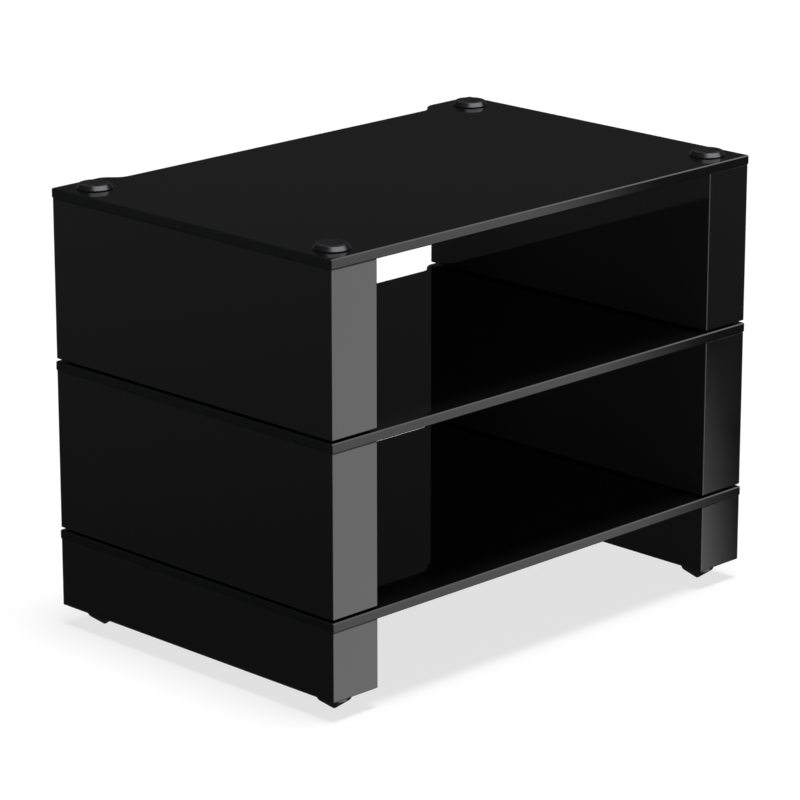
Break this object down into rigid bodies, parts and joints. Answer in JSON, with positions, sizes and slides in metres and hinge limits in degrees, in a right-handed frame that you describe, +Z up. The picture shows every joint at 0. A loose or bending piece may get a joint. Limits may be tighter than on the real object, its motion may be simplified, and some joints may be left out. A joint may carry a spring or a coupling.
{
  "type": "audio equipment rack",
  "caption": "Low stacking rack for audio components: thick gloss black side panels, glossy shelves with rear cable notches, cone feet and dished pucks at the corners.",
  "frame": {"origin": "on the floor under the middle of the rack", "axes": "+X to the rack's right along its width, +Y from the open front to the rear, +Z up"},
  "size_m": [0.69, 0.46, 0.535],
  "materials": {
    "lacquer": "polished black lacquer on fibreboard",
    "shelf_glass": "opaque black tempered glass, polished",
    "black_metal": "turned and anodised black, satin",
    "zinc_steel": "zinc plated threaded rod"
  },
  "bodies": {
    "base_module": {"base_panel_left": "lacquer", "base_panel_right": "lacquer", "base_shelf": "shelf_glass", "base_puck_front_left": "black_metal", "base_puck_front_right": "black_metal", "base_puck_rear_left": "black_metal", "base_puck_rear_right": "black_metal", "base_foot_front_left": "black_metal", "base_foot_front_right": "black_metal", "base_foot_rear_left": "black_metal", "base_foot_rear_right": "black_metal", "base_tie_rod_front_left": "zinc_steel", "base_tie_rod_front_right": "zinc_steel", "base_tie_rod_rear_left": "zinc_steel", "base_tie_rod_rear_right": "zinc_steel"},
    "middle_module": {"middle_panel_left": "lacquer", "middle_panel_right": "lacquer", "middle_shelf": "shelf_glass", "middle_puck_front_left": "black_metal", "middle_puck_front_right": "black_metal", "middle_puck_rear_left": "black_metal", "middle_puck_rear_right": "black_metal", "middle_foot_front_left": "black_metal", "middle_foot_front_right": "black_metal", "middle_foot_rear_left": "black_metal", "middle_foot_rear_right": "black_metal", "middle_tie_rod_front_left": "zinc_steel", "middle_tie_rod_front_right": "zinc_steel", "middle_tie_rod_rear_left": "zinc_steel", "middle_tie_rod_rear_right": "zinc_steel"},
    "top_module": {"top_panel_left": "lacquer", "top_panel_right": "lacquer", "top_shelf": "shelf_glass", "top_puck_front_left": "black_metal", "top_puck_front_right": "black_metal", "top_puck_rear_left": "black_metal", "top_puck_rear_right": "black_metal", "top_foot_front_left": "black_metal", "top_foot_front_right": "black_metal", "top_foot_rear_left": "black_metal", "top_foot_rear_right": "black_metal", "top_tie_rod_front_left": "zinc_steel", "top_tie_rod_front_right": "zinc_steel", "top_tie_rod_rear_left": "zinc_steel", "top_tie_rod_rear_right": "zinc_steel"}
  },
  "joints": [
    {"name": "middle_lift", "type": "slide", "parent": "base_module", "child": "middle_module", "axis": [0, 0, 1], "range_m": [0, 0.1]},
    {"name": "top_lift", "type": "slide", "parent": "middle_module", "child": "top_module", "axis": [0, 0, 1], "range_m": [0, 0.1]}
  ]
}
